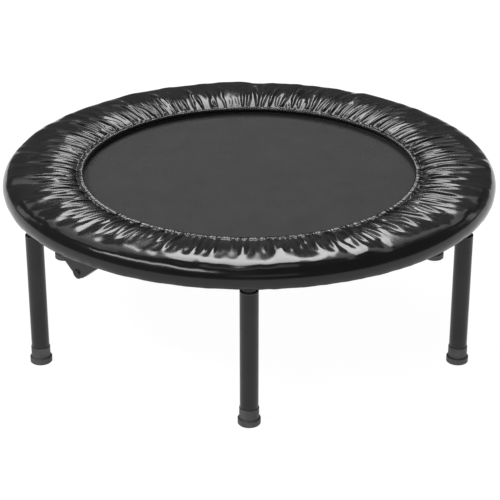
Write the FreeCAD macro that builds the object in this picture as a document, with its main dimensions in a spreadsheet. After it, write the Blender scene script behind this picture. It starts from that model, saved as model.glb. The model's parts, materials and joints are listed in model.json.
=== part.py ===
"""Folding mini trampoline: a ring frame in two hinged halves, six screw-in legs, a sprung mat
and a padded cover. Millimetres, +Z up, origin on the floor under the middle of the mat.

Half A runs from azimuth -130 to 50 degrees and half B from 50 to 230. Each half is built in a
frame of its own, in which it runs from azimuth 0 to 180 and the fold line lies along X, and is
then turned into place.
"""
import FreeCAD, Part

import math
import os
import re

import Sketcher

SIZES = {
    # frame
    "ring_radius": 437, "ring_height": 272, "tube_dia": 28, "tube_wall": 1.5,
    "fold_gap": 0.8,
    # legs
    "leg_dia": 32, "leg_wall": 1.6, "leg_top": 250.9, "foot_floor": 5,
    "collar_height": 2, "insert_length": 38, "insert_bore": 10.6,
    "stub_dia": 25, "stub_wall": 2.5, "stub_bottom": 253.3, "stub_top": 269,
    "stud_dia": 10, "stud_length": 36, "stud_disc_height": 4,
    "foot_radius": 19.8, "foot_flange_height": 12, "foot_sleeve_radius": 17.1,
    "foot_sleeve_height": 32, "foot_chamfer": 1.2,
    # hinge
    "pivot_height": 232, "eye_radius": 11, "gusset_slope": 39, "gusset_top": 262,
    "gusset_corner": 256, "gusset_start": 0.8, "leaf_thickness": 4, "leaf_play": 0.4,
    "cheek_thickness": 2, "lip_thickness": 2, "lip_start": 10, "lip_stand": 4,
    "lip_overlap": 0.4,
    "bolt_dia": 8, "bolt_hole_dia": 8.1, "bolt_head_dia": 14, "bolt_head_height": 2.6,
    "bolt_head_slope": 1.6, "nut_across": 13, "nut_height": 6.5, "bolt_tail": 2.5,
    "washer_dia": 17, "washer_thickness": 1.6,
    # springs and rings
    "spring_height": 273, "spring_radius": 7, "spring_start": 368, "spring_length": 44,
    "hook_wire": 2.4, "hook_radius": 4, "hook_centre": 358, "hook_reach": 427,
    "hook_drop": 6, "hook_bend": 2.5, "hook_hole_dia": 5,
    "ring_wire": 3, "ring_bar": 341, "ring_apex": 358.9, "ring_half_width": 13,
    "ring_corner": 2.4, "tab_width": 15, "tab_height": 5.2, "tab_length": 7,
    "tab_hole_dia": 3.8,
    # mat
    "mat_radius": 335, "mat_low": 275, "mat_thickness": 2, "webbing_inner": 315,
    "webbing_outer": 337, "webbing_ply": 1.2,
    # pad
    "hem_radius": 312, "hem_height": 287.5, "hem_round": 3.5, "hem_elastic_dia": 3.5,
    "pad_under": 284, "pad_shoulder": 395, "pad_shoulder_height": 301,
    "roll_centre": 430, "roll_height": 275, "roll_radius": 27, "skirt_bottom": 262,
    "tube_play": 0.6, "cover_ply": 2, "foam_start": 322, "foam_end": 443,
    "skirt_elastic_radius": 452.4, "skirt_elastic_height": 265, "skirt_elastic_dia": 1.8,
    "stub_notch_dia": 26,
}
FIRST_LEG = 41.7  # a half's legs stand at this turn from the fold line, and at LEG_STEP after it
LEG_STEP = 60.0
SPRINGS = 16  # in each half, evenly spaced, none on the fold line
HALF_TURN = {"a": -131.7, "b": 48.3}

X = FreeCAD.Vector(1, 0, 0)
Y = FreeCAD.Vector(0, 1, 0)
Z = FreeCAD.Vector(0, 0, 1)
ORIGIN = FreeCAD.Vector(0, 0, 0)

doc = FreeCAD.newDocument("mini_trampoline")
sheet = doc.addObject("Spreadsheet::Sheet", "dims")
for row, (alias, number) in enumerate(SIZES.items(), start=1):
    sheet.set(f"A{row}", alias)
    sheet.set(f"B{row}", str(number))
    sheet.setAlias(f"B{row}", alias)
doc.recompute()

nodes = {}  # node name: the object that is exported


# ---- helpers ---------------------------------------------------------------------------------

def sized(text):
    """An expression in which each size's name refers to its cell."""
    return re.sub(r"[a-z_]+", lambda m: "dims." + m[0] if m[0] in SIZES else m[0], text)


def value(text):
    found = sheet.evalExpression(sized(text))
    return float(getattr(found, "Value", found))


def bind(obj, **sizes):
    for name, text in sizes.items():
        obj.setExpression(name, sized(text))
    return obj


def primitive(kind, placement=None, **sizes):
    obj = doc.addObject("Part::" + kind, kind)
    if placement is not None:
        obj.Placement = placement
    return bind(obj, **sizes)


def at(x=0.0, y=0.0, z=0.0, axis=Z, turn=0.0):
    return FreeCAD.Placement(FreeCAD.Vector(x, y, z), FreeCAD.Rotation(axis, turn))


def about_z(turn, placement=None):
    """A placement carried round the vertical axis."""
    return FreeCAD.Placement(ORIGIN, FreeCAD.Rotation(Z, turn)) * (placement or at())


def cut(base, tool):
    obj = doc.addObject("Part::Cut", "Cut")
    obj.Base, obj.Tool = base, tool
    return obj


def fuse(*shapes):
    obj = doc.addObject("Part::MultiFuse", "Fuse")
    obj.Shapes = list(shapes)
    return obj


def node(name, obj, placement=None):
    """Names a finished sub-part and puts it in its place."""
    if placement is not None:
        obj.Placement = placement * obj.Placement
    obj.Label = name
    nodes[name] = obj
    return obj


def feature(name, shape, placement=None):
    obj = doc.addObject("Part::Feature", name)
    obj.Shape = shape
    return node(name, obj, placement)


def outline(sketch, loop):
    """A closed loop of straight lines and arcs, each corner's two coordinates bound to the sheet.
    A corner is (x, y), or (x, y, centre x, centre y, way) where an arc about that centre leads to
    it from the corner before, anticlockwise where way is 1 and clockwise where it is -1."""
    points = [FreeCAD.Vector(value(c[0]), value(c[1]), 0) for c in loop]
    pieces = []
    for i, corner in enumerate(loop):
        start, end = points[i - 1], points[i]
        if len(corner) == 2:
            pieces.append((sketch.addGeometry(Part.LineSegment(start, end)), 1, 2))
            continue
        centre = FreeCAD.Vector(value(corner[2]), value(corner[3]), 0)
        first, last = (start, end) if corner[4] > 0 else (end, start)
        angles = [math.atan2(p.y - centre.y, p.x - centre.x) for p in (first, last)]
        circle = Part.Circle(centre, Z, (start - centre).Length)
        arc = sketch.addGeometry(Part.ArcOfCircle(circle, angles[0], angles[1]))
        pieces.append((arc, 1, 2) if corner[4] > 0 else (arc, 2, 1))
        bound(sketch, "DistanceX", arc, 3, corner[2])  # with the two ends, this fixes the arc
    for i, (piece, head, tail) in enumerate(pieces):
        following, start, _ = pieces[(i + 1) % len(pieces)]
        sketch.addConstraint(Sketcher.Constraint("Coincident", piece, tail, following, start))
        for axis, text in zip(("DistanceX", "DistanceY"), loop[i][:2]):
            bound(sketch, axis, piece, tail, text)


def bound(sketch, axis, piece, point, text):
    """One coordinate of a point, measured from the sketch's origin and bound to the sheet."""
    constraint = Sketcher.Constraint(axis, -1, 1, piece, point, value(text))
    index = sketch.addConstraint(constraint)
    sketch.setExpression(f"Constraints[{index}]", sized(text))


def round_hole(sketch, x, y, radius):
    circle = Part.Circle(FreeCAD.Vector(value(x), value(y), 0), Z, value(radius))
    piece = sketch.addGeometry(circle)
    bound(sketch, "DistanceX", piece, 3, x)
    bound(sketch, "DistanceY", piece, 3, y)
    index = sketch.addConstraint(Sketcher.Constraint("Radius", piece, value(radius)))
    sketch.setExpression(f"Constraints[{index}]", sized(radius))


def turned(name, loops, holes=(), angle=180):
    """A body turned about the vertical axis from a profile in radius and height."""
    body = doc.addObject("PartDesign::Body", name)
    planes = {f.Role: f for f in body.Origin.OriginFeatures}
    sketch = body.newObject("Sketcher::SketchObject", name + "_profile")
    sketch.AttachmentSupport = [(planes["XZ_Plane"], "")]
    sketch.MapMode = "FlatFace"
    for loop in loops:
        outline(sketch, loop)
    for hole in holes:
        round_hole(sketch, *hole)
    doc.recompute()
    spin = body.newObject("PartDesign::Revolution", name + "_turn")
    spin.Profile = sketch
    spin.ReferenceAxis = (sketch, ["V_Axis"])
    spin.Angle = angle
    body.Tip = spin
    return body


def half_turned(name, loops, holes=()):
    """Half a ring on the +Y side of the fold line."""
    body = turned(name, loops, holes)
    doc.recompute()
    if body.Shape.BoundBox.YMax < -body.Shape.BoundBox.YMin:
        body.Tip.Reversed = True
    return body


def split_at_fold(half):
    """The half, stopped short of the fold line so that the two halves never touch."""
    slot = primitive("Box", Length="1200", Width="fold_gap", Height="600")
    bind(slot, **{"Placement.Base.x": "-600", "Placement.Base.y": "-fold_gap / 2"})
    return cut(half, slot)


def half_tube(radius, height, thickness):
    """A solid half ring of round section."""
    ring = primitive("Torus", Radius1=radius, Radius2=thickness, Angle3="180")
    return bind(ring, **{"Placement.Base.z": height})


def rod(diameter, low, high):
    """An upright cylinder on the Z axis."""
    body = primitive("Cylinder", Radius=f"({diameter}) / 2", Height=f"({high}) - ({low})")
    return bind(body, **{"Placement.Base.z": low})


def radial_rod(diameter, start, end, height):
    """A cylinder along +X."""
    body = primitive("Cylinder", at(axis=Y, turn=90), Radius=f"({diameter}) / 2",
                     Height=f"({end}) - ({start})")
    return bind(body, **{"Placement.Base.x": start, "Placement.Base.z": height})


def around(obj, turn):
    """A finished shape carried round the middle, as an independent copy."""
    shape = obj.Shape.copy()
    shape.rotate(ORIGIN, Z, turn)
    return shape


# ---- frame -----------------------------------------------------------------------------------

def spring_turns():
    pitch = 180.0 / SPRINGS
    return [pitch * (i + 0.5) for i in range(SPRINGS)]


def frame_tube():
    """A half ring of tube, drilled on its inner side for the springs' outer hooks."""
    tube = cut(half_tube("ring_radius", "ring_height", "tube_dia / 2"),
               half_tube("ring_radius", "ring_height", "tube_dia / 2 - tube_wall"))
    doc.recompute()
    drill = radial_rod("hook_hole_dia", "ring_radius - tube_dia / 2 - 4", "ring_radius - 8",
                       "spring_height")
    doc.recompute()
    drills = doc.addObject("Part::Feature", "hook_holes")
    drills.Shape = Part.makeCompound([around(drill, turn) for turn in spring_turns()])
    return split_at_fold(cut(tube, drills))


# ---- legs ------------------------------------------------------------------------------------

def leg_stub():
    """The short neck welded under the ring, its top cut to the ring's round."""
    outer = rod("stub_dia", "stub_bottom", "stub_top")
    inner = rod("stub_dia - 2 * stub_wall", "stub_bottom", "stub_top")
    ring = primitive("Torus", Radius1="ring_radius", Radius2="tube_dia / 2")
    bind(ring, **{"Placement.Base.x": "-ring_radius", "Placement.Base.z": "ring_height"})
    return cut(cut(outer, inner), ring)


def leg_stud():
    """The threaded stud, with the disc that welds it into the stub."""
    disc = rod("stub_dia - 2 * stub_wall", "stub_bottom", "stub_bottom + stud_disc_height")
    stud = rod("stud_dia", "stub_bottom - stud_length", "stub_bottom + 1")
    return fuse(disc, stud)


def leg_tube():
    return cut(rod("leg_dia", "foot_floor", "leg_top"),
               rod("leg_dia - 2 * leg_wall", "foot_floor", "leg_top"))


def leg_insert():
    """A plug in the leg's top, with a collar over the tube's end and a bore for the stud."""
    plug = rod("leg_dia - 2 * leg_wall", "leg_top - insert_length", "leg_top")
    collar = rod("leg_dia", "leg_top", "leg_top + collar_height")
    bore = rod("insert_bore", "leg_top - insert_length - 1", "leg_top + collar_height + 1")
    return cut(fuse(plug, collar), bore)


def leg_foot():
    """A moulded cap: a sleeve up the tube and a wider flange with a chamfered base."""
    loop = [
        ("0", "0"),
        ("foot_radius - foot_chamfer", "0"),
        ("foot_radius", "foot_chamfer"),
        ("foot_radius", "foot_flange_height - foot_chamfer"),
        ("foot_radius - foot_chamfer", "foot_flange_height"),
        ("foot_sleeve_radius", "foot_flange_height + 0.8"),
        ("foot_sleeve_radius", "foot_sleeve_height - 0.8"),
        ("foot_sleeve_radius - 0.4", "foot_sleeve_height"),
        ("leg_dia / 2", "foot_sleeve_height"),
        ("leg_dia / 2", "foot_floor"),
        ("0", "foot_floor"),
    ]
    return turned("leg_foot", [loop], angle=360)


def make_legs():
    """Six legs and their sockets: 1 to 3 on half A, 4 to 6 on half B."""
    number = 0
    for side, half_turn in HALF_TURN.items():
        for i in range(3):
            number += 1
            turn = half_turn + FIRST_LEG + i * LEG_STEP
            place = about_z(turn, at(x=value("ring_radius")))
            for part in (leg_stub, leg_stud, leg_tube, leg_insert, leg_foot):
                node(f"{part.__name__}_{number}", part(), place)


# ---- hinges ----------------------------------------------------------------------------------

UPRIGHT = FreeCAD.Rotation(FreeCAD.Vector(1, 1, 1), 120)  # sketch x along Y, sketch y along Z


def gusset_sketch(name):
    """A plate from under the tube down to a round eye at the pivot. Its lower edge slopes."""
    foot_y = "eye_radius * sin(gusset_slope)"
    foot_z = "pivot_height - eye_radius * cos(gusset_slope)"
    corner_y = f"{foot_y} + (gusset_corner - ({foot_z})) / tan(gusset_slope)"
    sketch = doc.addObject("Sketcher::SketchObject", name)
    outline(sketch, [
        ("gusset_start", "gusset_top"),
        ("gusset_start", "pivot_height + 1.6 * eye_radius"),
        ("-eye_radius", "pivot_height"),
        (foot_y, foot_z, "0", "pivot_height", 1),
        (corner_y, "gusset_corner"),
        (corner_y, "gusset_top"),
    ])
    return sketch


def lip_sketch(name):
    """The strip turned out along the channel's sloping lower edge."""
    def edge(along, out):
        """A point on the lower edge, so far along it from the eye and so far outside it."""
        return (f"(eye_radius + {out}) * sin(gusset_slope) + ({along}) * cos(gusset_slope)",
                f"pivot_height - (eye_radius + {out}) * cos(gusset_slope)"
                f" + ({along}) * sin(gusset_slope)")
    rise = "(gusset_corner - pivot_height + eye_radius * cos(gusset_slope))"
    end = f"{rise} / sin(gusset_slope)"
    sketch = doc.addObject("Sketcher::SketchObject", name)
    outline(sketch, [
        edge("lip_start", "-lip_overlap"), edge("lip_start", "lip_thickness"),
        edge(end, "lip_thickness"), edge(end, "-lip_overlap"),
    ])
    return sketch


def plate(sketch, start, thickness):
    """A sketch of the fold's cross plane, made solid from radius start outward."""
    body = doc.addObject("Part::Extrusion", "Plate")
    body.Base = sketch
    body.DirMode = "Custom"
    body.Dir = X
    body.Solid = True
    bind(body, LengthFwd=thickness)
    sketch.Placement = FreeCAD.Placement(ORIGIN, UPRIGHT)
    sketch.setExpression("Placement.Base.x", sized(start))
    return body


def trimmed(plates):
    """Fitted under the ring's tube and drilled for the pivot bolt."""
    hole = radial_rod("bolt_hole_dia", "ring_radius - 30", "ring_radius + 30", "pivot_height")
    tube = primitive("Torus", Radius1="ring_radius", Radius2="tube_dia / 2")
    bind(tube, **{"Placement.Base.z": "ring_height"})
    return cut(plates, fuse(hole, tube))


def hinge_channel():
    """Two cheeks that straddle the other half's leaf, tied by a lip along their lower edge."""
    gap = "(leaf_thickness / 2 + leaf_play)"
    outer = plate(gusset_sketch("outer_cheek"), f"ring_radius + {gap}", "cheek_thickness")
    inner = plate(gusset_sketch("inner_cheek"), f"ring_radius - {gap} - cheek_thickness",
                  "cheek_thickness")
    lip = plate(lip_sketch("lip"), f"ring_radius - {gap} - cheek_thickness",
                f"2 * {gap} + 2 * cheek_thickness + lip_stand")
    return trimmed(fuse(outer, inner, lip))


def hinge_leaf():
    """One thicker plate between the cheeks."""
    return trimmed(plate(gusset_sketch("leaf"), "ring_radius - leaf_thickness / 2",
                         "leaf_thickness"))


def across(obj):
    """The same piece at the fold line's other end."""
    mirror = doc.addObject("Part::Mirroring", "Mirror")
    mirror.Source = obj
    mirror.Normal = X
    return mirror


def hexagon(across_flats, start, end):
    """A hexagonal prism along +X on the pivot's axis."""
    head = primitive("Prism", at(axis=Y, turn=90), Polygon="6",
                     Circumradius=f"{across_flats} / 2 / cos(30)",
                     Height=f"({end}) - ({start})")
    return bind(head, **{"Placement.Base.x": start, "Placement.Base.z": "pivot_height"})


def hinge_fasteners():
    """Each pivot's bolt, its low head outside, and its nut on a washer inside."""
    grip = "leaf_thickness / 2 + leaf_play + cheek_thickness"
    outside, inside = f"ring_radius + {grip}", f"ring_radius - ({grip})"
    nut_face = f"{inside} - washer_thickness"
    shank = radial_rod("bolt_dia", f"{nut_face} - nut_height - bolt_tail", outside,
                       "pivot_height")
    head = primitive("Cone", at(axis=Y, turn=90), Radius1="bolt_head_dia / 2",
                     Radius2="bolt_head_dia / 2 - bolt_head_slope", Height="bolt_head_height")
    bind(head, **{"Placement.Base.x": outside, "Placement.Base.z": "pivot_height"})
    bolt = fuse(shank, head)
    hole = radial_rod("bolt_dia", "ring_radius - 40", "ring_radius + 40", "pivot_height")
    nut = cut(hexagon("nut_across", f"{nut_face} - nut_height", nut_face), hole)
    washer = cut(radial_rod("washer_dia", nut_face, inside, "pivot_height"), hole)
    doc.recompute()
    for name, part in (("hinge_bolts", bolt), ("hinge_nuts", nut), ("hinge_washers", washer)):
        both = Part.makeCompound([s for turn in (0, 180) for s in around(part, turn).Solids])
        feature(name, both, about_z(HALF_TURN["a"]))


def make_hinges():
    """Half A carries the channels and the bolts, half B the leaves between them."""
    for number, part in ((1, hinge_channel), (1, hinge_leaf), (2, hinge_channel), (2, hinge_leaf)):
        side = "a" if part is hinge_channel else "b"
        # hinge 1 is at half A's start, which is half B's end
        near = (number == 1) == (side == "a")
        piece = part() if near else across(part())
        node(f"{part.__name__}_{number}", piece, about_z(HALF_TURN[side]))
    hinge_fasteners()


# ---- springs and rings -----------------------------------------------------------------------

def spring():
    """One spring along +X: a plain barrel, a loop at the mat's end and a hook in the frame."""
    barrel = radial_rod("2 * spring_radius", "spring_start", "spring_start + spring_length",
                        "spring_height")
    upright = FreeCAD.Rotation(X, 90) * FreeCAD.Rotation(Z, 90)
    loop = primitive("Torus", FreeCAD.Placement(ORIGIN, upright), Radius1="hook_radius",
                     Radius2="hook_wire / 2", Angle3="270")
    bind(loop, **{"Placement.Base.x": "hook_centre", "Placement.Base.z": "spring_height"})
    neck = radial_rod("hook_wire", "hook_centre", "spring_start + 1",
                      "spring_height + hook_radius")
    reach = radial_rod("hook_wire", "spring_start + spring_length - 1",
                       "hook_reach - hook_bend", "spring_height")
    elbow = primitive("Torus", at(axis=X, turn=90), Radius1="hook_bend",
                      Radius2="hook_wire / 2", Angle3="90")
    bind(elbow, **{"Placement.Base.x": "hook_reach - hook_bend",
                   "Placement.Base.z": "spring_height - hook_bend"})
    tip = rod("hook_wire", "spring_height - hook_drop", "spring_height - hook_bend")
    bind(tip, **{"Placement.Base.x": "hook_reach"})
    return fuse(barrel, loop, neck, reach, elbow, tip)


def rounded_triangle(bar, apex, half_width, height, corner):
    """A closed wire: a cross bar at radius bar and a point at radius apex, corners rounded."""
    corners = [FreeCAD.Vector(bar, -half_width, height), FreeCAD.Vector(apex, 0, height),
               FreeCAD.Vector(bar, half_width, height)]
    ends = []
    for i, point in enumerate(corners):
        before = (corners[i - 1] - point).normalize()
        after = (corners[(i + 1) % 3] - point).normalize()
        half_angle = before.getAngle(after) / 2
        back = corner / math.tan(half_angle)
        middle = (before + after).normalize() * (corner / math.sin(half_angle) - corner)
        ends.append((point + before * back, point + middle, point + after * back))
    edges = []
    for i, (start, middle, end) in enumerate(ends):
        edges.append(Part.Arc(start, middle, end).toShape())
        edges.append(Part.LineSegment(end, ends[(i + 1) % 3][0]).toShape())
    return Part.Wire(edges)


def v_ring():
    """One triangle of wire, its bar through a webbing loop and its point in a spring's loop."""
    path = rounded_triangle(value("ring_bar"), value("ring_apex"), value("ring_half_width"),
                            value("spring_height"), value("ring_corner"))
    section = Part.Wire(Part.makeCircle(value("ring_wire") / 2, path.Edges[1].Vertexes[0].Point,
                                        path.Edges[1].tangentAt(path.Edges[1].FirstParameter)))
    start = Part.Wire(Part.__sortEdges__(path.Edges[1:] + path.Edges[:1]))
    return start.makePipeShell([section], True, True)


def ring_tab():
    """One webbing loop, folded round a ring's bar."""
    block = primitive("Box", Length="tab_length", Width="tab_width", Height="tab_height")
    bind(block, **{"Placement.Base.x": "webbing_outer + 0.05",
                   "Placement.Base.y": "-tab_width / 2",
                   "Placement.Base.z": "spring_height - tab_height / 2"})
    hole = primitive("Cylinder", at(axis=X, turn=90), Radius="tab_hole_dia / 2",
                     Height="tab_width + 4")
    bind(hole, **{"Placement.Base.x": "ring_bar", "Placement.Base.z": "spring_height",
                  "Placement.Base.y": "tab_width / 2 + 2"})
    return cut(block, hole)


def make_spring_sets():
    """Sixteen springs, rings and webbing loops in each half."""
    one_spring, one_tab = spring(), ring_tab()
    doc.recompute()
    one_ring = doc.addObject("Part::Feature", "one_ring")
    one_ring.Shape = v_ring()
    for side, half_turn in HALF_TURN.items():
        for name, part in (("springs", one_spring), ("ring_tabs", one_tab),
                           ("v_rings", one_ring)):
            copies = [around(part, turn) for turn in spring_turns()]
            feature(f"{name}_{side}", Part.makeCompound(copies), about_z(half_turn))


# ---- mat and pad -----------------------------------------------------------------------------

def mat_fabric():
    disc = primitive("Cylinder", Radius="mat_radius", Height="mat_thickness", Angle="180")
    return split_at_fold(bind(disc, **{"Placement.Base.z": "mat_low"}))


def mat_webbing():
    """A band folded over the mat's edge."""
    low, high = "mat_low - webbing_ply", "mat_low + mat_thickness + webbing_ply"
    return split_at_fold(half_turned("webbing", [[
        ("webbing_inner", low), ("webbing_outer", low), ("webbing_outer", high),
        ("webbing_inner", high), ("webbing_inner", "mat_low + mat_thickness"),
        ("mat_radius", "mat_low + mat_thickness"), ("mat_radius", "mat_low"),
        ("webbing_inner", "mat_low"),
    ]]))


def under_edge(play, height, sign):
    """The radius at which a circle about the tube's section, larger by play, is at a height."""
    return (f"ring_radius {sign} sqrt((tube_dia / 2 + {play})^2"
            f" - (({height}) - ring_height)^2)")


FOAM_PLAY = "tube_play + cover_ply"
FOAM_LOW = "pad_under + cover_ply"


def foam_outline():
    """The foam's section: flat under, over the tube, and sloping down to the hem."""
    return [
        ("foam_start", FOAM_LOW),
        ("foam_start", "hem_height + 2"),
        ("pad_shoulder", "pad_shoulder_height - cover_ply"),
        ("roll_centre", "roll_height + roll_radius - cover_ply"),
        ("foam_end", under_height("foam_end")),
        (under_edge(FOAM_PLAY, FOAM_LOW, "-"), FOAM_LOW, "ring_radius", "ring_height", 1),
    ]


def under_height(radius):
    """The height of the foam's underside over the tube, at a radius."""
    return (f"ring_height + sqrt((tube_dia / 2 + {FOAM_PLAY})^2"
            f" - ({radius} - ring_radius)^2)")


def pad_foam():
    return split_at_fold(half_turned("foam", [foam_outline()]))


def pad_cover():
    """The cover: a rolled inner hem, a top that swells to a round outer roll, and a skirt that
    ends below the tube's middle. It is notched where the leg stubs meet the ring."""
    outer_end = "roll_centre + sqrt(roll_radius^2 - (skirt_bottom - roll_height)^2)"
    body = half_turned("cover", [[
        ("hem_radius", "hem_height - hem_round"),
        ("hem_radius", "hem_height + hem_round", "hem_radius", "hem_height", -1),
        ("pad_shoulder", "pad_shoulder_height"),
        ("roll_centre", "roll_height + roll_radius"),
        (outer_end, "skirt_bottom", "roll_centre", "roll_height", -1),
        (under_edge("tube_play", "skirt_bottom", "+"), "skirt_bottom"),
        (under_edge("tube_play", "pad_under", "-"), "pad_under",
         "ring_radius", "ring_height", 1),
    ], foam_outline()], holes=[
        ("hem_radius", "hem_height", "hem_elastic_dia / 2"),
        ("skirt_elastic_radius", "skirt_elastic_height", "skirt_elastic_dia / 2"),
    ])
    notches = []
    for i in range(3):
        turn = math.radians(FIRST_LEG + i * LEG_STEP)
        notch = rod("stub_notch_dia", "stub_bottom", "stub_top + 2")
        notch.setExpression("Placement.Base.x", sized(f"ring_radius * {math.cos(turn)}"))
        notch.setExpression("Placement.Base.y", sized(f"ring_radius * {math.sin(turn)}"))
        notches.append(notch)
    return split_at_fold(cut(body, fuse(*notches)))


def hem_elastic():
    return split_at_fold(half_tube("hem_radius", "hem_height", "hem_elastic_dia / 2"))


def skirt_elastic():
    return split_at_fold(half_tube("skirt_elastic_radius", "skirt_elastic_height",
                                   "skirt_elastic_dia / 2"))


def make_halves():
    for side, half_turn in HALF_TURN.items():
        for part in (frame_tube, mat_fabric, mat_webbing, pad_foam, pad_cover, hem_elastic,
                     skirt_elastic):
            node(f"{part.__name__}_{side}", part(), about_z(half_turn))


# ---- build, check and export -----------------------------------------------------------------

make_legs()
make_hinges()
make_spring_sets()
make_halves()
doc.recompute()

for obj in doc.Objects:
    if "Invalid" in obj.State or "Error" in obj.State:
        raise RuntimeError(f"{obj.Label} failed: {obj.State}")
for name, obj in nodes.items():
    if obj.Shape.isNull() or not obj.Shape.isValid() or not obj.Shape.Solids:
        raise RuntimeError(f"{name} has no valid solid")

os.makedirs("parts", exist_ok=True)
for name, obj in nodes.items():
    obj.Shape.exportStep(f"parts/{name}.step")
    box = obj.Shape.BoundBox
    print(f"{name}: {len(obj.Shape.Solids)} solids, {obj.Shape.Volume / 1000:.1f} cm3,"
          f" z {box.ZMin:.1f} to {box.ZMax:.1f}")
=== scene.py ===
"""Looks of the folding mini trampoline. Metres, +Z up, origin on the floor under the mat.

Round the ring a place is given by its azimuth; across the pad's top by u, the distance outward
along it from the stitches of its inner hem.
"""
import json
import math

import bpy
import numpy as np
from mathutils import Matrix, Vector


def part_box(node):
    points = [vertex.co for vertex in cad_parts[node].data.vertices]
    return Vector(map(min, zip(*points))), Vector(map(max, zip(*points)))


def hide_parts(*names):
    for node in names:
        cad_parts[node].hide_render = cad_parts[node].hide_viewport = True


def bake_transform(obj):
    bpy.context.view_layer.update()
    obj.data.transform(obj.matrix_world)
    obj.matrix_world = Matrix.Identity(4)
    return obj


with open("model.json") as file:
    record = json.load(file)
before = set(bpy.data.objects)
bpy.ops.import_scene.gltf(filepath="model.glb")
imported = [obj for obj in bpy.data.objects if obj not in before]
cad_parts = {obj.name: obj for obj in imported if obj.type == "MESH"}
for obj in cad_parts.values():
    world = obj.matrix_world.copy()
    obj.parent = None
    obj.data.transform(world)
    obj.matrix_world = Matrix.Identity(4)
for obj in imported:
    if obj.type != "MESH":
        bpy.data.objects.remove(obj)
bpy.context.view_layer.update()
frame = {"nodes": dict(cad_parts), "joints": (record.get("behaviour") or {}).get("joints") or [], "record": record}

MM = 0.001
SEED = 7

# ---- places taken from the frame -------------------------------------------------------------


def ring_of(node):
    """Smallest and largest radius, and lowest and highest height, of a node's vertices."""
    co = np.array([v.co for v in frame["nodes"][node].data.vertices])
    radius = np.hypot(co[:, 0], co[:, 1])
    return radius.min(), radius.max(), co[:, 2].min(), co[:, 2].max()


def middle(node):
    """Radius and height of the middle of a ring of round section, and its section's radius."""
    inner, outer, low, high = ring_of(node)
    return (inner + outer) / 2, (low + high) / 2, (high - low) / 2


TUBE_R, TUBE_Z, TUBE_ROUND = middle("frame_tube_a")
HEM_R, HEM_Z, _ = middle("hem_elastic_a")
_, PAD_OUTER, PAD_LOW, PAD_HIGH = ring_of("pad_cover_a")
_, MAT_R, MAT_LOW, MAT_HIGH = ring_of("mat_fabric_a")
_, _, RING_LOW, RING_HIGH = ring_of("v_rings_a")
FOLD = next(j for j in frame["joints"] if j["name"] == "frame_fold")
FOLD_AXIS = Vector(FOLD["axis"])
TO_A = FOLD_AXIS.cross(Vector((0, 0, 1)))  # level, from the fold line towards half a
if TO_A.dot(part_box("leg_tube_1")[0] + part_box("leg_tube_1")[1]) < 0:
    TO_A.negate()
FOLD_TURN = math.atan2(FOLD_AXIS.y, FOLD_AXIS.x)

# ---- helpers ---------------------------------------------------------------------------------


def mesh_object(name, points, faces):
    mesh = bpy.data.meshes.new(name)
    mesh.from_pydata(np.asarray(points).reshape(-1, 3).tolist(), [], faces)
    mesh.validate()
    mesh.polygons.foreach_set("use_smooth", [True] * len(mesh.polygons))
    obj = bpy.data.objects.new(name, mesh)
    bpy.context.scene.collection.objects.link(obj)
    return obj


def grid_faces(rows, columns):
    """Faces of a grid of points, row after row, each row a closed loop."""
    row, here = np.meshgrid(np.arange(rows - 1), np.arange(columns), indexing="ij")
    after = (here + 1) % columns
    first, second = row * columns, (row + 1) * columns
    quads = np.stack([first + here, first + after, second + after, second + here], -1)
    return quads.reshape(-1, 4).tolist()


def around(count):
    """So many azimuths evenly round the ring."""
    return np.linspace(0, 2 * math.pi, count, endpoint=False)


def smoothstep(x, low, high):
    """0 up to low and 1 from high on, with a smooth rise between."""
    t = np.clip((x - low) / (high - low), 0, 1)
    return t * t * (3 - 2 * t)


def round_noise(turn, across, cells, rows, seed):
    """Smooth noise from -1 to 1. turn, in radians, goes round in so many cells; across, from 0
    to 1, has so many rows."""
    grid = np.random.default_rng(seed).uniform(-1, 1, (rows + 2, cells))
    x = (turn / (2 * math.pi) * cells) % cells
    y = np.clip(across, 0, 0.9999) * rows
    ix, iy = np.floor(x).astype(int), np.floor(y).astype(int)
    fx, fy = x - ix, y - iy
    fx, fy = (f * f * f * (f * (f * 6 - 15) + 10) for f in (fx, fy))
    a, b = grid[iy, ix % cells], grid[iy, (ix + 1) % cells]
    c, d = grid[iy + 1, ix % cells], grid[iy + 1, (ix + 1) % cells]
    return (a * (1 - fx) + b * fx) * (1 - fy) + (c * (1 - fx) + d * fx) * fy


def arc_points(cx, cz, radius, start, end, count):
    """Points of an arc in radius and height, angles in degrees from outward level."""
    angles = np.radians(np.linspace(start, end, count))
    return np.stack([cx + radius * np.cos(angles), cz + radius * np.sin(angles)], -1)


def resampled(line, step):
    """A line in radius and height, with points evenly spaced along it."""
    line = np.asarray(line)
    lengths = np.concatenate([[0], np.cumsum(np.linalg.norm(np.diff(line, axis=0), axis=1))])
    count = max(2, int(round(lengths[-1] / step)) + 1)
    at = np.linspace(0, lengths[-1], count)
    return np.stack([np.interp(at, lengths, line[:, k]) for k in (0, 1)], -1)


# ---- materials -------------------------------------------------------------------------------


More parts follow.
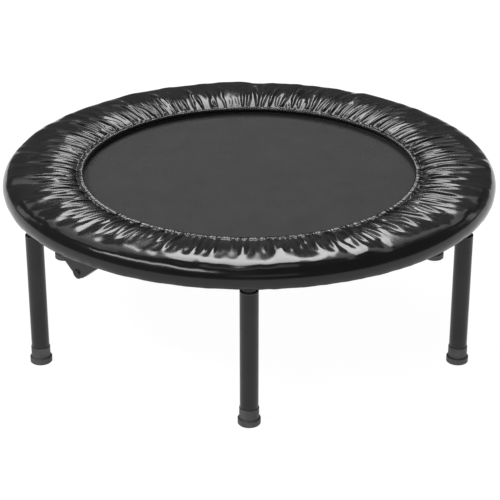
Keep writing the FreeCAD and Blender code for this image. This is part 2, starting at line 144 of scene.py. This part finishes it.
class Surface:
    """A Principled material being built. A socket's name has _ for each space."""

    def __init__(self, name, **sockets):
        self.material = bpy.data.materials.new(name)
        self.material.use_nodes = True
        self.tree = self.material.node_tree
        self.shader = self.tree.nodes["Principled BSDF"]
        for socket, number in sockets.items():
            self.shader.inputs[socket.replace("_", " ")].default_value = number
        self.place = self.node("ShaderNodeTexCoord").outputs["Object"]
        self.normal = None

    def node(self, kind, links=(), **settings):
        made = self.tree.nodes.new(kind)
        for key, number in settings.items():
            setattr(made, key, number)
        for socket, source in links:
            target = made.inputs[socket]
            if isinstance(source, bpy.types.NodeSocket):
                self.tree.links.new(source, target)
            else:
                target.default_value = source
        return made

    def scaled(self, x, y, z):
        """The place, stretched differently along each axis."""
        return self.node("ShaderNodeMapping",
                         [("Vector", self.place), ("Scale", (x, y, z))]).outputs["Vector"]

    def noise(self, scale, detail, place=None):
        return self.node("ShaderNodeTexNoise", [
            ("Vector", place or self.place), ("Scale", scale), ("Detail", detail)]).outputs["Fac"]

    def math(self, operation, a, b):
        return self.node("ShaderNodeMath", [(0, a), (1, b)], operation=operation).outputs[0]

    def color(self, source, dark, light, start=0.3, end=0.7):
        """The base colour goes from dark to light as source goes from start to end."""
        ramp = self.node("ShaderNodeValToRGB", [("Fac", source)])
        for element, position, rgb in zip(ramp.color_ramp.elements, (start, end), (dark, light)):
            element.position = position
            element.color = (*rgb, 1)
        self.tree.links.new(ramp.outputs["Color"], self.shader.inputs["Base Color"])

    def rough(self, source, low, high):
        """The roughness goes from low to high over the middle half of source."""
        spread = self.node("ShaderNodeMapRange", [
            ("Value", source), ("From Min", 0.25), ("From Max", 0.75), ("To Min", low),
            ("To Max", high)]).outputs["Result"]
        self.tree.links.new(spread, self.shader.inputs["Roughness"])

    def bump(self, source, distance, strength):
        """Unevenness this high, on top of any added before."""
        links = [("Height", source), ("Distance", distance), ("Strength", strength)]
        if self.normal:
            links.append(("Normal", self.normal))
        self.normal = self.node("ShaderNodeBump", links).outputs["Normal"]
        self.tree.links.new(self.normal, self.shader.inputs["Normal"])


def pad_vinyl():
    """Glossy black PVC leathercloth: fine pebbled grain, soft unevenness, rubbed a little dull."""
    s = Surface("pad_vinyl", Coat_Weight=0.1, Coat_Roughness=0.1, Specular_IOR_Level=0.34)
    pebbles = s.node("ShaderNodeTexVoronoi", [("Vector", s.place), ("Scale", 800)],
                     feature="SMOOTH_F1").outputs["Distance"]
    s.color(s.noise(9, 4), (0.0075, 0.0075, 0.008), (0.0125, 0.0125, 0.0133))
    s.rough(s.noise(14, 5), 0.12, 0.22)
    s.bump(pebbles, 0.00006, 0.1)
    return s.material


def mat_weave():
    """Woven polypropylene: flat threads over and under at a millimetre and a half."""
    s = Surface("mat_weave", Sheen_Weight=0.06, Sheen_Roughness=0.5, Specular_IOR_Level=0.1)
    pitch = 1 / (1.5 * MM)
    waves = []
    for direction in ("X", "Y"):
        waves.append(s.node("ShaderNodeTexWave", [
            ("Vector", s.place), ("Scale", pitch / (2 * math.pi)), ("Distortion", 0.6),
            ("Detail Scale", 2.0)], bands_direction=direction).outputs["Fac"])
    checks = s.node("ShaderNodeTexChecker", [("Vector", s.place), ("Scale", pitch)])
    threads = s.node("ShaderNodeMix", [("Factor", checks.outputs["Fac"]), ("A", waves[0]),
                                       ("B", waves[1])], data_type="FLOAT").outputs[0]
    tone = s.math("ADD", s.math("MULTIPLY", threads, 0.55),
                  s.math("MULTIPLY", s.noise(35, 5), 0.45))
    s.color(tone, (0.05, 0.05, 0.05), (0.073, 0.0724, 0.0718), 0.2, 0.85)
    s.rough(s.noise(20, 4), 0.7, 0.88)
    s.bump(s.noise(7, 2), 0.001, 0.15)
    s.bump(threads, 0.0004, 0.8)
    return s.material


def frame_paint():
    """Satin black powder coat with a fine orange peel."""
    s = Surface("frame_paint", Specular_IOR_Level=0.36)
    s.color(s.noise(25, 4), (0.008, 0.008, 0.0084), (0.0145, 0.0145, 0.0152))
    s.rough(s.noise(45, 4), 0.28, 0.4)
    s.bump(s.noise(900, 2), 0.0002, 0.35)
    return s.material


def foot_rubber():
    """Matte dark grey moulded rubber, slightly dusty."""
    s = Surface("foot_rubber", Specular_IOR_Level=0.4)
    s.color(s.noise(60, 5), (0.056, 0.057, 0.058), (0.09, 0.091, 0.092))
    s.rough(s.noise(80, 4), 0.5, 0.7)
    s.bump(s.noise(1500, 2), 0.0002, 0.5)
    return s.material


def insert_plastic():
    """Black moulded plastic with a fine grain."""
    s = Surface("insert_plastic")
    s.color(s.noise(90, 3), (0.014, 0.014, 0.015), (0.024, 0.024, 0.025))
    s.rough(s.noise(200, 3), 0.38, 0.55)
    s.bump(s.noise(1800, 2), 0.0001, 0.5)
    return s.material


def plated(name, color, low, high):
    """Plated steel of this colour: drawn streaks and patchy lustre."""
    s = Surface(name, Metallic=1.0)
    dull = tuple(c * 0.72 for c in color)
    s.color(s.noise(120, 5), dull, color)
    s.rough(s.noise(160, 4), low, high)
    s.bump(s.noise(1, 3, place=s.scaled(500, 500, 3000)), 0.0001, 0.4)
    return s.material


def webbing():
    """Black webbing: ribs three millimetres apart that run round the mat."""
    s = Surface("webbing", Sheen_Weight=0.3, Sheen_Roughness=0.4)
    ribs = s.node("ShaderNodeTexWave", [("Vector", s.place), ("Scale", 105), ("Distortion", 0.3)],
                  wave_type="RINGS", rings_direction="Z").outputs["Fac"]
    s.color(s.math("MULTIPLY", ribs, s.noise(300, 3)), (0.012, 0.012, 0.012),
            (0.034, 0.034, 0.034), 0.1, 0.6)
    s.rough(s.noise(200, 3), 0.72, 0.9)
    s.bump(ribs, 0.0005, 0.8)
    return s.material


def thread():
    """Sewing thread, its light grey partly painted highlight that stands in for the glints along the tunnel's
    puckers.
    """
    s = Surface("thread", Sheen_Weight=0.4, Sheen_Roughness=0.4)
    # These greys are partly painted highlight: light enough to stand in for the glints along the tunnel's puckers.
    s.color(s.noise(900, 2), (0.14, 0.14, 0.142), (0.3, 0.3, 0.302))
    s.rough(s.noise(700, 2), 0.45, 0.65)
    s.bump(s.noise(1, 2, place=s.scaled(2500, 2500, 900)), 0.0002, 0.6)
    return s.material


MATERIALS = {
    "pad_vinyl": pad_vinyl(),
    "mat_weave": mat_weave(),
    "frame_paint": frame_paint(),
    "foot_rubber": foot_rubber(),
    "insert_plastic": insert_plastic(),
    "spring_steel": plated("spring_steel", (0.62, 0.62, 0.64), 0.2, 0.36),
    "black_bolt": plated("black_bolt", (0.045, 0.045, 0.047), 0.35, 0.5),
    "zinc": plated("zinc", (0.5, 0.5, 0.5), 0.3, 0.5),
    "webbing": webbing(),
    # the tunnel's stitches: thread whose light grey is partly painted highlight for the glints on the puckers
    "elastic": thread(),
    "foam": thread(),  # inside the pad, never seen
}


def dress(obj, slot):
    """A new piece gets its slot's material."""
    obj.data.materials.clear()
    obj.data.materials.append(MATERIALS[slot])


def dress_frame():
    """The CAD pieces that stay get their slots' materials."""
    for part in frame["record"]["subparts"]:
        node = frame["nodes"][part["node"]]
        node.data.materials.clear()
        node.data.materials.append(MATERIALS[part["material_slot"]])


# ---- the pad ---------------------------------------------------------------------------------

COLUMNS = 1200  # points round the ring
TOP_STEP = 2.2 * MM  # between the rows of the pad's top
UNDER_STEP = 5 * MM
HEM_STEP = 1.2 * MM
ROLL_R = 27 * MM  # of the rounded outer edge
SEAM_TURN = 28  # degrees past the roll's top at which the top panel meets the side band
SHOULDER = 78 * MM  # out from the elastic's middle, where the top has its full height
ROLL_FROM = 82  # degrees above outward level, where the roll's arc takes over from the shoulder
UNDER_CLEAR = 0.6 * MM  # between the tube and the cover's underside
HEM_ROLL = 3.5 * MM  # the cover's radius where it goes round the elastic
TUNNEL = 8.5 * MM  # from the elastic's middle to the stitches that close its tunnel
PUCKERS = 380  # round the tunnel, with a stitch to each
PUCKER_HEIGHT = 0.9 * MM

EXCESS = 0.17  # the cover's extra length at the hem, as a share of the hem's length
UNEVEN = 0.4  # share by which that excess, and how fast it fades outwards, vary round the ring
PLEAT_LEAN = 0.024  # radians by which the pleats lean to either side at most
STIFF_HEM, STIFF_SEAM = 0.007, 0.08  # how far a bend is straightened in one round
DIAGONAL_PULL = 0.35  # the cloth's firmness along its diagonals, where its threads' is 1
ACROSS_SMOOTHING = 0.1  # share of the way to the middle of a point's two neighbours across
FOAM_PUSH, FOAM_HOLD = 0.05, 0.0015  # share of the way back, from inside the foam and from above
CLOTH_ROUNDS = 260

LUMP, SMALL_LUMP = 2.5 * MM, 1.0 * MM  # of the stuffing
GROOVE_DEPTH, GROOVE_WIDTH = 0.55 * MM, 2.8 * MM  # along the seam
SKIRT_RIPPLE, SKIRT_EDGE = 0.45 * MM, 12 * MM  # its height, and its reach up the side band


def pad_profile():
    """The section of the stuffed pad, in four lines of radius and height: its top from the
    tunnel's stitches to the seam, the side band, the underside from the skirt's edge back over
    the tube, and the elastic's tunnel."""
    roll_x, roll_z = PAD_OUTER - ROLL_R, PAD_HIGH - ROLL_R
    seam = 90 - SEAM_TURN
    skirt = math.degrees(math.asin((PAD_LOW - roll_z) / ROLL_R))
    rise = [(TUNNEL, 0.12), (TUNNEL + 4 * MM, 0.29), (30 * MM, 0.66), (46 * MM, 0.88),
            (62 * MM, 0.97), (SHOULDER, 1.0)]  # out from the elastic, share of the height above it
    top = resampled(np.concatenate([
        [[HEM_R + away, HEM_Z + share * (PAD_HIGH - HEM_Z)] for away, share in rise],
        arc_points(roll_x, roll_z, ROLL_R, ROLL_FROM, seam, 10)]), TOP_STEP)
    smoothing_rounds = 14
    for _ in range(smoothing_rounds):
        top[1:-1] += 0.25 * (top[:-2] + top[2:] - 2 * top[1:-1])
    band = arc_points(roll_x, roll_z, ROLL_R, seam, skirt, 30)
    round_tube = TUBE_ROUND + UNDER_CLEAR
    low = math.degrees(math.asin((PAD_LOW - TUBE_Z) / round_tube))
    flat = HEM_Z - HEM_ROLL
    back = 180 - math.degrees(math.asin((flat - TUBE_Z) / round_tube))
    under = resampled(np.concatenate([arc_points(TUBE_R, TUBE_Z, round_tube, low, back, 24),
                                      [[HEM_R + 3 * MM, flat]]]), UNDER_STEP)
    tunnel = resampled(np.concatenate([arc_points(HEM_R, HEM_Z, HEM_ROLL, 268, 84, 16),
                                       [[HEM_R + 0.55 * TUNNEL, HEM_Z + 3.3 * MM],
                                        [HEM_R + 0.85 * TUNNEL, HEM_Z + 2.5 * MM]]]), HEM_STEP)
    return top, band, under, tunnel


def uneven_start(t, out, u, seam):
    """Heights that the cloth starts from, so that it has somewhere to buckle: narrow waves at
    the hem, wider ones further out, none at the seam. out goes from 0 at the hem to 1."""
    lean = t + PLEAT_LEAN * round_noise(t, out, 40, 2, SEED) * out
    narrow = 1.5 * MM * round_noise(lean, out, 240, 3, SEED + 1) * (
        1 - smoothstep(u, 15 * MM, 60 * MM))
    medium = 2.2 * MM * round_noise(lean, out, 130, 2, SEED + 2) * (
        1 - smoothstep(u, 50 * MM, 110 * MM))
    wide = 2 * MM * round_noise(lean, out, 66, 2, SEED + 3) * smoothstep(
        u, 10 * MM, 50 * MM) * (1 - smoothstep(u, 90 * MM, 128 * MM))
    return (narrow + medium + wide + 1 * MM) * (1 - smoothstep(u, 110 * MM, seam))


def pull(start, end, length, firm):
    """What start moves, and end moves the other way, to be this length apart."""
    way = end - start
    size = np.sqrt(np.einsum("...k,...k", way, way))
    return way * ((size - length) / size * 0.5 * firm)[..., None]


def gathered(base, normal, radius, u, turn):
    """The cover's top as cloth: gathered on the elastic, it has more length round the ring than
    the ring has, most at the hem, so it buckles into pleats that merge and fade outwards.

    Each round moves every pair of neighbours towards its cut length, resists bending, and lets
    the foam push back. The seam rows stay where they are and the hem row keeps its radius.
    """
    rows, columns = base.shape[:2]
    t, out = np.meshgrid(turn, u / u[-1])
    p = base + normal * uneven_start(t, out, out * u[-1], u[-1])[..., None]
    share = out[:, :1]
    fullness = 1 + UNEVEN * round_noise(t, out, 26, 1, SEED + 5)
    fade = 1 + UNEVEN * round_noise(t, out, 58, 1, SEED + 4)
    extra = EXCESS * (1 - share) ** fade * fullness
    round_length = 2 * math.pi * radius[:, None] / columns * (1 + extra)
    across_length = u[1] - u[0]
    slant = np.hypot((round_length[:-1] + round_length[1:]) / 2, across_length)
    stiff = (STIFF_HEM + (STIFF_SEAM - STIFF_HEM) * share)[..., None]

    for _ in range(CLOTH_ROUNDS):
        for first in (0, 1):  # pairs round the ring
            here, after = slice(first, None, 2), (np.arange(first, columns, 2) + 1) % columns
            move = pull(p[:, here], np.roll(p, -1, 1)[:, here], round_length[:, here], 1)
            p[:, here] += move
            p[:, after] -= move
        for first in (0, 1):  # pairs across the pad, and along both diagonals
            last = first + (rows - first) // 2 * 2
            low, high = slice(first, last, 2), slice(first + 1, last, 2)
            move = pull(p[low], p[high], across_length, 1)
            p[low] += move
            p[high] -= move
            for side in (-1, 1):
                move = pull(p[low], np.roll(p[high], side, 1), slant[low], DIAGONAL_PULL)
                p[low] += move
                p[high] -= np.roll(move, -side, 1)
        bend = np.roll(p, -1, 1) + np.roll(p, 1, 1) - 2 * p
        p -= stiff * (np.roll(bend, -1, 1) + np.roll(bend, 1, 1) - 2 * bend)
        p[1:-1] += ACROSS_SMOOTHING * (0.5 * (p[2:] + p[:-2]) - p[1:-1])
        off = np.einsum("ijk,ijk->ij", p - base, normal)
        p += (np.where(off < 0, -FOAM_PUSH, -FOAM_HOLD) * off)[..., None] * normal
        p[-2:] = base[-2:]
        p[0, :, :2] *= (radius[0] / np.hypot(p[0, :, 0], p[0, :, 1]))[:, None]
    return p


def twice_as_many(rows):
    """The same closed rows of points with one more between each two, on a smooth curve."""
    between = (9 * (rows + np.roll(rows, -1, 1)) - np.roll(rows, 1, 1) - np.roll(rows, -2, 1)) / 16
    return np.stack([rows, between], 2).reshape(len(rows), -1, 3)


def swung(line, turn):
    """A line of radius and height carried round to every azimuth."""
    return np.stack([line[:, :1] * np.cos(turn), line[:, :1] * np.sin(turn),
                     line[:, 1:].repeat(len(turn), 1)], -1)


def outward(line, turn):
    """The direction out of the pad at every point of the line carried round."""
    tangent = np.gradient(line, axis=0)
    tangent /= np.linalg.norm(tangent, axis=1, keepdims=True)
    return swung(np.stack([-tangent[:, 1], tangent[:, 0]], -1), turn)


def stuffing_lumps(turn, u, band_rows):
    """Heights of the soft lumps of the stuffing, over the shoulder and down the side band, with
    the seam's groove and the ripple that the skirt's elastic makes at the lower edge. The band
    is taken as a quarter turn of the roll."""
    seam = u[-1]
    down = ROLL_R * math.radians(1) * np.linspace(0, 90, band_rows)[1:]
    out = np.concatenate([u, seam + down])
    t, a = np.meshgrid(turn, out)
    share = a / out[-1]
    strength = smoothstep(a, 35 * MM, 80 * MM) * (
        1 - 0.9 * smoothstep(a, seam - 8 * MM, seam + 14 * MM))
    lean = t + 0.02 * round_noise(t, share, 30, 2, SEED + 7)
    swell = strength * (LUMP * round_noise(lean, share, 70, 1, SEED + 8)
                        + SMALL_LUMP * round_noise(lean, share, 150, 1, SEED + 9))
    swell -= GROOVE_DEPTH * np.exp(-((a - seam) / GROOVE_WIDTH) ** 2)
    edge = 1 - smoothstep(out[-1] - a, 0, SKIRT_EDGE)
    return swell + SKIRT_RIPPLE * edge * round_noise(t, share, 230, 1, SEED + 10)


def puckered_tunnel(tunnel, lift):
    """The elastic's tunnel, with twice as many points round the ring as the rest of the pad, for
    its fine puckers. lift is how far the pleats have moved the top's first row."""
    turn = around(2 * COLUMNS)
    share = np.linspace(0, 1, len(tunnel) + 1)[:-1, None]
    hem = swung(tunnel, turn)
    hem += twice_as_many(lift) * (share * smoothstep(share, 0.3, 1.0))[..., None]
    t = turn[None, :] + 0 * share
    wander = t + 0.5 / PUCKERS * 2 * math.pi * round_noise(t, 0 * t, 260, 1, SEED + 11)
    pucker = (np.abs(np.sin(wander * PUCKERS / 2)) ** 0.8 - 0.6) * (
        1 + 0.5 * round_noise(t, 0 * t, 200, 1, SEED + 12))
    grow = smoothstep(share, 0.1, 0.5)
    return hem + outward(tunnel, turn) * (PUCKER_HEIGHT * pucker * grow)[..., None]


def pad_faces(rows, hem_rows):
    """Faces down from the top's inner edge, under, and back up through the tunnel. Fans of three
    join a column of the rest to the tunnel's two."""
    first = rows * COLUMNS
    faces = grid_faces(rows, COLUMNS)
    faces += (np.array(grid_faces(hem_rows, 2 * COLUMNS)) + first).tolist()
    j = np.arange(COLUMNS)
    after = (j + 1) % COLUMNS
    for row, fine_row, flip in ((first - COLUMNS, first, False),
                                (0, first + (hem_rows - 1) * 2 * COLUMNS, True)):
        a, b, c = (fine_row + (2 * j + k) % (2 * COLUMNS) for k in range(3))
        for fan in ((row + j, row + after, b), (row + j, b, a), (row + after, c, b)):
            faces += np.stack(fan[::-1] if flip else fan, -1).tolist()
    return faces


def pad_surface():
    """The pad's points and faces, and the line of points where the tunnel's stitches lie. The
    gathered top, the side band and the underside share one grid."""
    top, band, under, tunnel = pad_profile()
    turn = around(COLUMNS)
    u = np.arange(len(top)) * np.linalg.norm(top[1:] - top[:-1], axis=1).mean()
    base, normal = swung(top, turn), outward(top, turn)
    cloth = gathered(base, normal, top[:, 0], u, turn)
    upper = np.concatenate([cloth, swung(band, turn)[1:]])
    upper_normal = np.concatenate([normal, outward(band, turn)[1:]])
    upper += upper_normal * stuffing_lumps(turn, u, len(band))[..., None]
    hem = puckered_tunnel(tunnel, cloth[:1] - base[:1])
    coarse = np.concatenate([upper, swung(under, turn)])
    points = np.concatenate([coarse.reshape(-1, 3), hem.reshape(-1, 3)])
    return points, pad_faces(len(coarse), len(hem)), twice_as_many(upper[:1])[0]


def lying_stitches(name, line, count, length, radius):
    """A row of stitches along a closed line of points: short bars of thread with thin ends."""
    points, faces = [], []
    sides = 6
    angles = around(sides)
    thickness = (0.35, 0.9, 1.0, 0.9, 0.35)  # along a stitch, as shares of the radius
    droop = 0.3 * MM  # of a stitch's ends, for each step from its middle
    for start in np.linspace(0, len(line), count, endpoint=False):
        i = int(start) % len(line)
        here, ahead = line[i], line[(i + 2) % len(line)] - line[i - 2]
        ahead = ahead / np.linalg.norm(ahead)
        side = np.cross(ahead, [0, 0, 1.0])
        other = np.cross(side, ahead)
        first = len(points)
        for k, share in enumerate(thickness):
            center = here + ahead * length * (k / (len(thickness) - 1) - 0.5)
            center = center - other * droop * abs(k - 2)
            for angle in angles:
                points.append(center + radius * share * (math.cos(angle) * side
                                                         + math.sin(angle) * other))
        faces += (np.array(grid_faces(len(thickness), sides)) + first).tolist()
        last = first + (len(thickness) - 1) * sides
        faces += [list(range(first, first + sides))[::-1], list(range(last, last + sides))]
    return mesh_object(name, points, faces)


def bent_at_fold(obj):
    """Fabric that crosses the fold line gets its placing baked into its points; it is not bent along the fold."""
    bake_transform(obj)


def make_pad():
    points, faces, stitch_line = pad_surface()
    pad = mesh_object("pad_cover", points, faces)
    dress(pad, "pad_vinyl")
    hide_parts(*[f"{part}_{side}" for side in "ab" for part in (
        "pad_cover", "pad_foam", "hem_elastic", "skirt_elastic")])
    bent_at_fold(pad)
    stitches = lying_stitches("tunnel_stitches", stitch_line + [0, 0, 0.3 * MM], PUCKERS,
                              length=3 * MM, radius=0.45 * MM)
    dress(stitches, "elastic")
    bent_at_fold(stitches)


# ---- mat and springs -------------------------------------------------------------------------

SPRINGS = 16  # in each half
SCALLOP = 0.8 * MM  # half of how far the mat's edge draws in between two rings
SAG = 1.4 * MM  # at the mat's middle
RIPPLE = 0.35 * MM


def make_mat():
    """One stretched disc of weave, scalloped a little between the rings that pull it."""
    rings, columns = 90, 384
    radius = np.linspace(0.5 * MM, MAT_R, rings)[:, None].repeat(columns, 1)
    turn = around(columns)[None, :].repeat(rings, 0)
    pulled = np.cos(2 * SPRINGS * (turn - FOLD_TURN) - math.pi)  # 1 at a ring, -1 between two
    radius = radius - SCALLOP * (1 - pulled) * (radius / MAT_R) ** 8
    sag = -SAG * (1 - (radius / MAT_R) ** 2)
    ripple = RIPPLE * round_noise(turn, radius / MAT_R, 24, 5, SEED + 6) * (radius / MAT_R)
    height = (MAT_LOW + MAT_HIGH) / 2 + sag + ripple
    x, y = radius * np.cos(turn), radius * np.sin(turn)
    half_thick = 0.5 * MM
    top = np.stack([x, y, height + half_thick], -1)
    low = np.stack([x, y, height - half_thick], -1)[::-1]
    points = np.concatenate([top, low])
    faces = grid_faces(len(points), columns)
    count = len(points) * columns
    faces.append(list(range(columns))[::-1])
    faces.append(list(range(count - columns, count)))
    mat = mesh_object("jumping_mat", points, faces)
    dress(mat, "mat_weave")
    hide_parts("mat_fabric_a", "mat_fabric_b")
    bent_at_fold(mat)


def swept(line, radius):
    """Points and faces of a wire that follows a line of points."""
    sides = 8
    ahead = np.gradient(line, axis=0)
    ahead /= np.linalg.norm(ahead, axis=1, keepdims=True)
    side = np.cross(ahead[0], [0.3, 0.2, 1.0])
    side /= np.linalg.norm(side)
    rings = []
    angles = around(sides)
    for point, direction in zip(line, ahead):
        side = side - direction * side.dot(direction)
        side /= np.linalg.norm(side)
        other = np.cross(direction, side)
        rings.append(point + radius * (np.cos(angles)[:, None] * side
                                       + np.sin(angles)[:, None] * other))
    faces = grid_faces(len(line), sides)
    last = len(line) * sides
    return np.array(rings), faces + [list(range(sides))[::-1], list(range(last - sides, last))]


WIRE = 1.2 * MM  # the wire's radius
COILS = 18
COIL_R = 5.8 * MM
NECK = 0.69  # the coils' radius at both ends, as a share of COIL_R
COIL_START, COIL_END = 368 * MM, 412 * MM  # out from the mat's middle
LOOP_X, HOOK_X = 358 * MM, 427 * MM  # the loop's middle in the V-ring, the hole in the frame
LOOP_R = 4 * MM
HOOK_BEND = 3 * MM
HOOK_DEPTH = 6 * MM
SPRING_Z = (RING_LOW + RING_HIGH) / 2


def spring_line():
    """The wire of one spring along +X: loop, close coils, and a hook down into the frame."""
    angle = np.linspace(math.radians(370), math.radians(90), 26)
    loop = np.stack([LOOP_X + LOOP_R * np.cos(angle), 0 * angle, LOOP_R * np.sin(angle)], -1)
    t = np.linspace(0, 1, COILS * 14 + 1)
    turns = 2 * math.pi * COILS * t + math.pi / 2
    radius = COIL_R * np.minimum(1, NECK + (1 - NECK) * np.minimum(t, 1 - t) * COILS)
    coil = np.stack([COIL_START + (COIL_END - COIL_START) * t, radius * np.cos(turns),
                     radius * np.sin(turns)], -1)
    bend = np.linspace(math.radians(90), 0, 7)
    hook = np.stack([HOOK_X - HOOK_BEND + HOOK_BEND * np.cos(bend), 0 * bend,
                     HOOK_BEND * (np.sin(bend) - 1)], -1)
    tail = np.array([[HOOK_X, 0, -HOOK_DEPTH]])
    return np.concatenate([loop, coil, hook, tail]) + [0, 0, SPRING_Z]


def make_springs():
    """Each spring stretches between the frame that it is hooked to and the mat's edge."""
    points, faces = swept(spring_line(), WIRE)
    points = points.reshape(-1, 3)
    for side, start, frame_body, mat_body in (("a", FOLD_TURN, "root", "mat_a"),
                                              ("b", FOLD_TURN + math.pi, "frame_b", "rings_b")):
        halfway = Matrix.Rotation(start + math.pi / 2, 3, "Z") @ Vector((1, 0, 0))
        if halfway.dot(TO_A if side == "a" else -TO_A) < 0:
            start += math.pi
        for i in range(SPRINGS):
            turn = start + math.pi * (i + 0.5) / SPRINGS
            spin = np.array(Matrix.Rotation(turn, 3, "Z"))
            spring = mesh_object(f"spring_{side}_{i + 1:02d}", points @ spin.T, faces)
            dress(spring, "spring_steel")
            if i == 0:
                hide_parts(f"springs_{side}")
            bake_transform(spring)


# ---- stage -----------------------------------------------------------------------------------


def make_floor():
    """A floor that glows white and catches little light, so that it stays even."""
    reach = 30
    floor = mesh_object("floor", [[-reach, -reach, 0], [reach, -reach, 0], [reach, reach, 0],
                                  [-reach, reach, 0]], [[0, 1, 2, 3]])
    s = Surface("pale_floor", Base_Color=(0.14, 0.14, 0.14, 1), Roughness=0.9,
                Specular_IOR_Level=0.0, Emission_Color=(1, 1, 1, 1), Emission_Strength=0.97)
    floor.data.materials.append(s.material)


def softbox(name, place, size, radiance, target=(0, 0, 0.25)):
    """A rectangular soft light that faces its target. Its power grows with its area."""
    data = bpy.data.lights.new(name, "AREA")
    data.shape = "RECTANGLE"
    data.size, data.size_y = size
    data.energy = radiance * math.pi * size[0] * size[1]
    obj = bpy.data.objects.new(name, data)
    obj.location = place
    obj.rotation_euler = (Vector(target) - Vector(place)).to_track_quat("-Z", "Y").to_euler()
    bpy.context.scene.collection.objects.link(obj)


def make_lights():
    """A tall box behind gives the broad highlight on the near pad, and a wide dim one over it the
    greys to both sides. A strip at the front left draws the line along the side band. The rest
    fills in."""
    softbox("back_box", (0.0, 1.9, 2.69), (1.1, 1.9), 7.0, target=(0, -0.33, 0.25))
    softbox("wide_box", (0.0, 1.85, 2.95), (4.6, 2.0), 0.9, target=(0, -0.6, 0.25))
    softbox("top_box", (0.0, -0.5, 3.8), (1.6, 1.2), 1.0)
    softbox("front_strip", (-2.0, -1.7, 2.9), (3.2, 0.5), 11.0)
    softbox("left_box", (-3.2, 1.6, 1.2), (0.5, 1.2), 1.2)
    softbox("right_box", (3.2, 1.4, 1.2), (0.5, 1.2), 1.2)
    softbox("front_fill", (0.6, -4.5, 2.4), (2.2, 0.8), 0.7)
    world = bpy.data.worlds.new("studio")
    world.use_nodes = True
    world.node_tree.nodes["Background"].inputs["Color"].default_value = (1, 1, 1, 1)
    world.node_tree.nodes["Background"].inputs["Strength"].default_value = 0.12
    bpy.context.scene.world = world


def make_camera():
    """A long lens from the front, 25 degrees above level."""
    elevation, distance, aim_height = math.radians(25.31), 3.29, 0.1194
    data = bpy.data.cameras.new("camera")
    data.sensor_width, data.lens = 36, 124.2
    camera = bpy.data.objects.new("camera", data)
    camera.location = (0.0014, -distance * math.cos(elevation),
                       aim_height + distance * math.sin(elevation))
    camera.rotation_euler = (math.pi / 2 - elevation, 0, 0)
    bpy.context.scene.collection.objects.link(camera)
    bpy.context.scene.camera = camera


dress_frame()
make_pad()
make_mat()
make_springs()
make_floor()
make_lights()
make_camera()
bpy.context.scene.view_settings.view_transform = "Standard"
